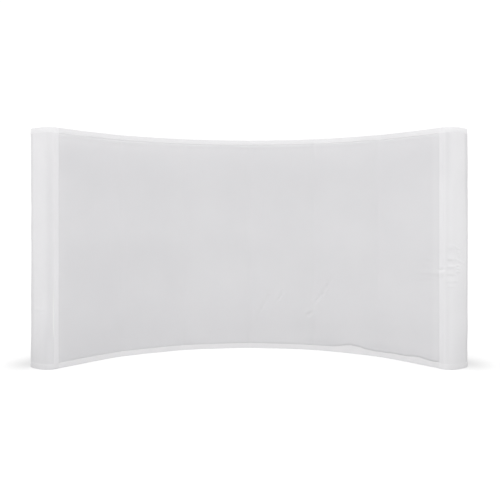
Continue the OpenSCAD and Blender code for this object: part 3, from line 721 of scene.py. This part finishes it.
def fabric():
    m = Nodes("stretch_knit")
    slow = m.noise(m.coords((1, 1, 1), "cloth"), 2.2, 3.0, 0.55)
    yarn = m.noise(m.coords((260, 900, 1), "cloth"), 1.0, 2.0, 0.6)
    soft = m.noise(m.coords((1, 1, 1), "cloth"), 38.0, 3.0, 0.6)
    knit = knit_height(m, 0.00125, 0.0010)
    # the attribute mixes the single and the doubled cloth's colours; its values also carry painted shade and light
    ply_and_painted_shade = m.add("ShaderNodeAttribute", attribute_name="ply_and_painted_shade").outputs["Fac"]
    one = m.mix(m.remap(slow, 0.3, 0.7, 0, 1), (0.675, 0.671, 0.6855), (0.694, 0.689, 0.7025))
    two = m.mix(m.remap(slow, 0.3, 0.7, 0, 1), (0.846, 0.841, 0.850), (0.860, 0.855, 0.863))
    base = m.mix(ply_and_painted_shade, one, two)
    base = m.mix(m.remap(yarn, 0.25, 0.75, 0.0, 0.05), base, (0.665, 0.662, 0.675))
    # painted shade: the knit's grooves are darkened in colour where its bump is lowest
    base = m.mix(m.remap(knit, 0.0, 0.5, 0.16, 0.0), base, (0.503, 0.500, 0.515))
    rough = m.remap(soft, 0.3, 0.7, 0.80, 0.92)
    normal = m.bump(knit, 0.00030, 0.75)
    normal = m.bump(soft, 0.0006, 0.25, normal)
    return m.done(base, rough, normal, Sheen_Weight=0.22, Sheen_Roughness=0.45, Specular_IOR_Level=0.25)


def end_fabric():
    """The same knit, whiter for the white liner close behind it; the per-point mix between its two colours also carries
    painted shade.
    """
    m = Nodes("stretch_knit_over_liner")
    slow = m.noise(m.coords((1, 1, 1), "cloth"), 2.2, 3.0, 0.55)
    yarn = m.noise(m.coords((260, 900, 1), "cloth"), 1.0, 2.0, 0.6)
    soft = m.noise(m.coords((1, 1, 1), "cloth"), 38.0, 3.0, 0.6)
    knit = knit_height(m, 0.00125, 0.0010)
    # the attribute mixes the single and the doubled cloth's colours; its values also carry painted shade and light
    ply_and_painted_shade = m.add("ShaderNodeAttribute", attribute_name="ply_and_painted_shade").outputs["Fac"]
    one = m.mix(m.remap(slow, 0.3, 0.7, 0, 1), (0.756, 0.751, 0.765), (0.772, 0.767, 0.780))
    two = m.mix(m.remap(slow, 0.3, 0.7, 0, 1), (0.864, 0.859, 0.871), (0.878, 0.873, 0.884))
    base = m.mix(ply_and_painted_shade, one, two)
    base = m.mix(m.remap(yarn, 0.25, 0.75, 0.0, 0.05), base, (0.665, 0.662, 0.675))
    # painted shade: the knit's grooves are darkened in colour where its bump is lowest
    base = m.mix(m.remap(knit, 0.0, 0.5, 0.16, 0.0), base, (0.503, 0.500, 0.515))
    rough = m.remap(soft, 0.3, 0.7, 0.80, 0.92)
    normal = m.bump(knit, 0.00030, 0.75)
    normal = m.bump(soft, 0.0006, 0.25, normal)
    return m.done(base, rough, normal, Sheen_Weight=0.22, Sheen_Roughness=0.45, Specular_IOR_Level=0.25)


def thread():
    m = Nodes("sewing_thread")
    v = m.coords((1, 1, 1))
    twist = m.noise(v, 2600.0, 2.0, 0.6)
    base = m.mix(m.remap(twist, 0.3, 0.7, 0, 1), (0.78, 0.78, 0.79), (0.88, 0.88, 0.885))
    return m.done(base, m.remap(twist, 0.3, 0.7, 0.45, 0.65), m.bump(twist, 0.0001, 0.5), Sheen_Weight=0.1)


def tape_pile():
    m = Nodes("brushed_loop_tape")
    pile = m.noise(m.coords((1, 1, 1), "cloth"), 900.0, 3.0, 0.7)
    patch = m.noise(m.coords((1, 1, 1), "cloth"), 45.0, 2.0, 0.5)
    base = m.mix(m.remap(pile, 0.25, 0.75, 0, 1), (0.66, 0.66, 0.665), (0.86, 0.86, 0.86))
    base = m.mix(m.remap(patch, 0.35, 0.7, 0.0, 0.18), base, (0.93, 0.93, 0.93))
    return m.done(base, m.remap(pile, 0.2, 0.8, 0.85, 1.0), m.bump(pile, 0.0006, 0.8), Sheen_Weight=0.4, Specular_IOR_Level=0.2)


def liner_plastic():
    m = Nodes("satin_white_sheet")
    v = m.coords((1, 1, 1), "cloth")
    streak = m.noise(m.coords((260, 2.2, 1), "cloth"), 1.0, 3.0, 0.6)
    cloud = m.noise(v, 3.5, 3.0, 0.5)
    scuff = m.noise(m.coords((9, 46, 1), "cloth", (0, 0, 0.5)), 1.0, 5.0, 0.72)
    base = m.mix(m.remap(cloud, 0.3, 0.7, 0, 1), (0.80, 0.80, 0.79), (0.86, 0.86, 0.855))
    base = m.mix(m.remap(scuff, 0.62, 0.74, 0.0, 0.25), base, (0.68, 0.68, 0.67))
    rough = m.math("ADD", m.remap(streak, 0.3, 0.7, 0.28, 0.40), m.remap(scuff, 0.60, 0.75, 0.0, 0.2))
    return m.done(base, rough, m.bump(cloud, 0.002, 0.25), Specular_IOR_Level=0.45)


def moulded(name, dark, light, rough_lo, rough_hi, grain=1500.0, depth=0.00008):
    """Moulded nylon: fine spark-eroded grain, flow clouding, and a few scuffs."""
    m = Nodes(name)
    v = m.coords((1, 1, 1))
    fine = m.noise(v, grain, 2.0, 0.6)
    cloud = m.noise(v, 55.0, 3.0, 0.55)
    mark = m.noise(m.coords((1, 1, 4.0), "Object", (0.4, 0.9, 0.2)), 130.0, 6.0, 0.75)
    base = m.mix(m.remap(cloud, 0.3, 0.7, 0, 1), dark, light)
    pale = tuple(min(1.0, 2.4 * c + 0.02) for c in light)
    base = m.mix(m.remap(mark, 0.66, 0.78, 0.0, 0.35), base, pale)
    rough = m.math("ADD", m.remap(cloud, 0.3, 0.7, rough_lo, rough_hi), m.remap(fine, 0.3, 0.7, -0.04, 0.04))
    return m.done(base, rough, m.bump(fine, depth, 0.6), Specular_IOR_Level=0.42)


def tube_metal():
    m = Nodes("anodised_tube")
    v = m.coords((1, 1, 1))
    fine = m.noise(v, 2200.0, 2.0, 0.6)
    cloud = m.noise(v, 20.0, 3.0, 0.5)
    rub = m.noise(m.coords((1, 1, 3.0), "Object", (0.3, 0.2, 0.7)), 70.0, 6.0, 0.78)
    base = m.mix(m.remap(cloud, 0.3, 0.7, 0, 1), (0.66, 0.67, 0.69), (0.74, 0.75, 0.77))
    base = m.mix(m.remap(rub, 0.64, 0.76, 0.0, 0.4), base, (0.52, 0.52, 0.53))
    rough = m.math("ADD", m.remap(cloud, 0.3, 0.7, 0.30, 0.38), m.remap(rub, 0.6, 0.75, 0.0, 0.14))
    return m.done(base, rough, m.bump(fine, 0.00003, 0.5), Metallic=1.0)


def zinc():
    m = Nodes("zinc_plated_steel")
    v = m.coords((1, 1, 1))
    turned = m.noise(m.coords((1, 1, 9.0), "Object", (0.0, 0.0, 0.3)), 700.0, 3.0, 0.6)
    cloud = m.noise(v, 160.0, 3.0, 0.6)
    base = m.mix(m.remap(cloud, 0.3, 0.7, 0, 1), (0.56, 0.57, 0.58), (0.68, 0.68, 0.67))
    rough = m.math("ADD", m.remap(cloud, 0.3, 0.7, 0.22, 0.34), m.remap(turned, 0.3, 0.7, -0.03, 0.05))
    return m.done(base, rough, m.bump(turned, 0.00004, 0.5), Metallic=1.0)


def rubber():
    m = Nodes("matt_rubber")
    v = m.coords((1, 1, 1))
    fine = m.noise(v, 1300.0, 2.0, 0.7)
    dust = m.noise(v, 90.0, 5.0, 0.65)
    base = m.mix(m.remap(dust, 0.45, 0.75, 0.0, 1.0), (0.60, 0.60, 0.59), (0.66, 0.66, 0.65))
    return m.done(base, m.remap(fine, 0.3, 0.7, 0.82, 0.95), m.bump(fine, 0.00012, 0.7), Specular_IOR_Level=0.3)


def hook_pile():
    m = Nodes("white_hook_pile")
    v = m.coords((1, 1, 1))
    cell = m.add("ShaderNodeTexVoronoi")
    cell.inputs["Scale"].default_value = 620.0
    m.link(v, cell.inputs["Vector"])
    spot = cell.outputs["Distance"]
    fluff = m.noise(v, 220.0, 3.0, 0.7)
    base = m.mix(m.remap(spot, 0.1, 0.7, 0, 1), (0.86, 0.86, 0.85), (0.60, 0.60, 0.60))
    base = m.mix(m.remap(fluff, 0.5, 0.8, 0.0, 0.2), base, (0.72, 0.71, 0.69))
    return m.done(base, m.remap(fluff, 0.3, 0.7, 0.55, 0.75), m.bump(spot, 0.0005, 0.8), Specular_IOR_Level=0.35)


LOOK = {
    "hub_plastic": moulded("hub_nylon", (0.036, 0.037, 0.040), (0.055, 0.056, 0.060), 0.46, 0.56),
    "bar_tube": tube_metal(),
    "tip_plastic": moulded("tip_nylon", (0.022, 0.022, 0.024), (0.036, 0.036, 0.039), 0.40, 0.50, 1900.0, 0.00005),
    "steel": zinc(),
    "arm_plastic": moulded("arm_nylon", (0.052, 0.054, 0.058), (0.074, 0.076, 0.081), 0.42, 0.52),
    "pad_rubber": rubber(),
    "hook_disc": hook_pile(),
    "liner_sheet": liner_plastic(),
    "cover_fabric": fabric(),
    "loop_tape": tape_pile(),
}
KNIT_END = end_fabric()
THREAD = thread()

slot_of = {p["node"]: p["material_slot"] for p in frame["record"]["subparts"]}
for node, ob in frame["nodes"].items():
    look = LOOK[slot_of[node]]
    if ob.data.materials:
        for k in range(len(ob.data.materials)):
            ob.data.materials[k] = look
    else:
        ob.data.materials.append(look)

# --------------------------------------------------------------------------
# The camera
# --------------------------------------------------------------------------
cam_data = bpy.data.cameras.new("camera")
cam = bpy.data.objects.new("camera", cam_data)
bpy.context.scene.collection.objects.link(cam)
cam.location = (0.0045, -6.555, 1.384)
cam.rotation_euler = (math.pi / 2, 0, 0)
cam_data.sensor_width = 36.0
cam_data.lens = 46.0
cam_data.shift_x = 0.001
cam_data.shift_y = -0.0604
cam_data.clip_end = 100.0
bpy.context.scene.camera = cam

# --------------------------------------------------------------------------
# The pieces
# --------------------------------------------------------------------------
def dress(ob, look, slot_name, *nodes):
    ob.data.materials.clear()
    ob.data.materials.append(look)
    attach(ob, "frame")
    if nodes:
        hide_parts(*nodes)
    return ob


front = dress(cover_front(), LOOK["cover_fabric"], "cover_fabric", "front_cover")
end_left = dress(cover_end(-1, "cover_end_left"), KNIT_END, "cover_fabric", "left_end_cover")
end_right = dress(cover_end(1, "cover_end_right"), KNIT_END, "cover_fabric", "right_end_cover")
dress(liner(-1, "liner_left"), LOOK["liner_sheet"], "liner_sheet", "left_end_liner")
dress(liner(1, "liner_right"), LOOK["liner_sheet"], "liner_sheet", "right_end_liner")
tape_low = dress(hem_tape("tape_bottom", LOW), LOOK["loop_tape"], "loop_tape", "loop_tape_bottom")
tape_high = dress(hem_tape("tape_top", HIGH - HEM), LOOK["loop_tape"], "loop_tape", "loop_tape_top")
tape_left = dress(edge_tape(-1, "tape_left"), LOOK["loop_tape"], "loop_tape", "loop_tape_left_edge")
tape_right = dress(edge_tape(1, "tape_right"), LOOK["loop_tape"], "loop_tape", "loop_tape_right_edge")
sewn = [dress(s, THREAD, "cover_fabric") for s in sewing()]

# --------------------------------------------------------------------------
# The floor and the light
# --------------------------------------------------------------------------
def lit_apart(tree, seen, lights):
    """Mixes two shaders: what the lens sees directly, and what lights the object."""
    path = tree.nodes.new("ShaderNodeLightPath")
    mix = tree.nodes.new("ShaderNodeMixShader")
    tree.links.new(path.outputs["Is Camera Ray"], mix.inputs[0])
    tree.links.new(lights, mix.inputs[1])
    tree.links.new(seen, mix.inputs[2])
    return mix.outputs[0]


def floor():
    me = bpy.data.meshes.new("floor")
    q = 40.0
    me.from_pydata([(-q, -q, 0), (q, -q, 0), (q, q, 0), (-q, q, 0)], [], [(0, 1, 2, 3)])
    ob = bpy.data.objects.new("floor", me)
    bpy.context.scene.collection.objects.link(ob)
    m = Nodes("white_studio_floor")
    v = m.coords((1, 1, 1))
    cloud = m.noise(v, 0.8, 2.0, 0.5)
    far = m.add("ShaderNodeVectorMath", operation="LENGTH")
    m.link(v, far.inputs[0])
    xyz = m.add("ShaderNodeSeparateXYZ")
    m.link(v, xyz.inputs[0])

    def spot(x0, y0, wide, deep, much=1.0):
        x = m.math("SUBTRACT", m.math("ABSOLUTE", xyz.outputs["X"]), x0)
        y = m.math("SUBTRACT", xyz.outputs["Y"], y0)
        q = m.math("ADD", m.math("POWER", m.math("ABSOLUTE", m.math("DIVIDE", x, wide)), 2.0),
                   m.math("POWER", m.math("ABSOLUTE", m.math("DIVIDE", y, deep)), 2.0))
        return m.math("MULTIPLY", m.math("EXPONENT", m.math("MULTIPLY", q, -1.0)), much)

    # painted light and shadow in the floor's albedo: lighter in the hollow before the wall and darker round the two
    # ends, so it bounces more light onto the lower front and less onto the ends
    painted_light_in_hollow, ends = spot(0.0, -0.20, 1.35, 0.75), spot(2.20, -0.40, 0.45, 0.80)
    base = m.mix(m.remap(cloud, 0.3, 0.7, 0, 1), (0.520, 0.520, 0.522), (0.530, 0.530, 0.532))
    base = m.mix(painted_light_in_hollow, base, (0.680, 0.680, 0.680))
    base = m.mix(ends, base, (0.285, 0.285, 0.286))
    m.done(base, m.remap(cloud, 0.3, 0.7, 0.75, 0.85), None, Specular_IOR_Level=0.1)
    # a lightbox floor: it glows more towards the horizon and less where the ends stand, as painted contact shadows, and
    # its glow evens out the painted albedo spots for the lens
    glow_cut_and_painted_shadow = m.math("ADD", spot(2.10, -0.40, 0.45, 0.5, 0.12), spot(2.10, -0.40, 0.17, 0.24, 0.145))
    glow_cut_and_painted_shadow = m.math("ADD", glow_cut_and_painted_shadow, m.math("SUBTRACT", m.math("MULTIPLY", painted_light_in_hollow, 0.14), m.math("MULTIPLY", ends, 0.24)))
    glow = m.add("ShaderNodeEmission")
    m.link(m.math("SUBTRACT", m.remap(far.outputs["Value"], 3.0, 12.0, 0.56, 0.74), glow_cut_and_painted_shadow), glow.inputs["Strength"])
    both = m.add("ShaderNodeAddShader")
    m.link(m.bsdf.outputs[0], both.inputs[0])
    m.link(glow.outputs[0], both.inputs[1])
    m.link(lit_apart(m.tree, both.outputs[0], m.bsdf.outputs[0]), m.tree.nodes["Material Output"].inputs["Surface"])
    ob.data.materials.append(m.mat)
    return ob


floor()

world = bpy.data.worlds.new("studio")
bpy.context.scene.world = world
world.use_nodes = True
wt = world.node_tree
soft = wt.nodes["Background"]
way = wt.nodes.new("ShaderNodeTexCoord")
part = wt.nodes.new("ShaderNodeSeparateXYZ")
level = wt.nodes.new("ShaderNodeMapRange")
wt.links.new(way.outputs["Generated"], part.inputs[0])
sides = wt.nodes.new("ShaderNodeMath")
sides.operation = "ABSOLUTE"
wt.links.new(part.outputs["X"], sides.inputs[0])
wt.links.new(sides.outputs[0], level.inputs["Value"])
for k, v in zip(("From Min", "From Max", "To Min", "To Max"), (0.1, 0.80, 0.79, 1.30)):
    level.inputs[k].default_value = v
behind = wt.nodes.new("ShaderNodeMapRange")
for k, v in zip(("From Min", "From Max", "To Min", "To Max"), (-0.1, 0.7, 1.0, 0.45)):
    behind.inputs[k].default_value = v
wt.links.new(part.outputs["Y"], behind.inputs["Value"])
product = wt.nodes.new("ShaderNodeMath")
product.operation = "MULTIPLY"
wt.links.new(level.outputs["Result"], product.inputs[0])
wt.links.new(behind.outputs["Result"], product.inputs[1])
wt.links.new(product.outputs[0], soft.inputs["Strength"])
soft.inputs["Color"].default_value = (1.0, 1.0, 1.0, 1.0)
plain = wt.nodes.new("ShaderNodeBackground")
plain.inputs["Color"].default_value = (1.0, 1.0, 1.0, 1.0)
plain.inputs["Strength"].default_value = 1.05
wt.links.new(lit_apart(wt, plain.outputs[0], soft.outputs[0]), wt.nodes["World Output"].inputs["Surface"])


def softbox(name, where, towards, size, power, tint=(1, 1, 1)):
    light = bpy.data.lights.new(name, "AREA")
    light.shape = "RECTANGLE"
    light.size, light.size_y = size
    light.energy = power
    light.color = tint
    ob = bpy.data.objects.new(name, light)
    bpy.context.scene.collection.objects.link(ob)
    ob.location = where
    aim = np.array(towards, float) - np.array(where, float)
    ob.rotation_euler = Vector(aim).to_track_quat("-Z", "Y").to_euler()
    ob.visible_camera = False
    return ob


softbox("overhead", (0.0, -0.6, 4.7), (0.0, -0.59, 0.0), (13.0, 8.0), 170.0)
softbox("key", (-2.0, -7.0, 2.6), (0.1, 0.0, 0.9), (5.0, 2.6), 50.0)

view = bpy.context.scene.view_settings
view.view_transform = "Standard"
view.look = "None"
view.exposure = 0.0
view.gamma = 1.0
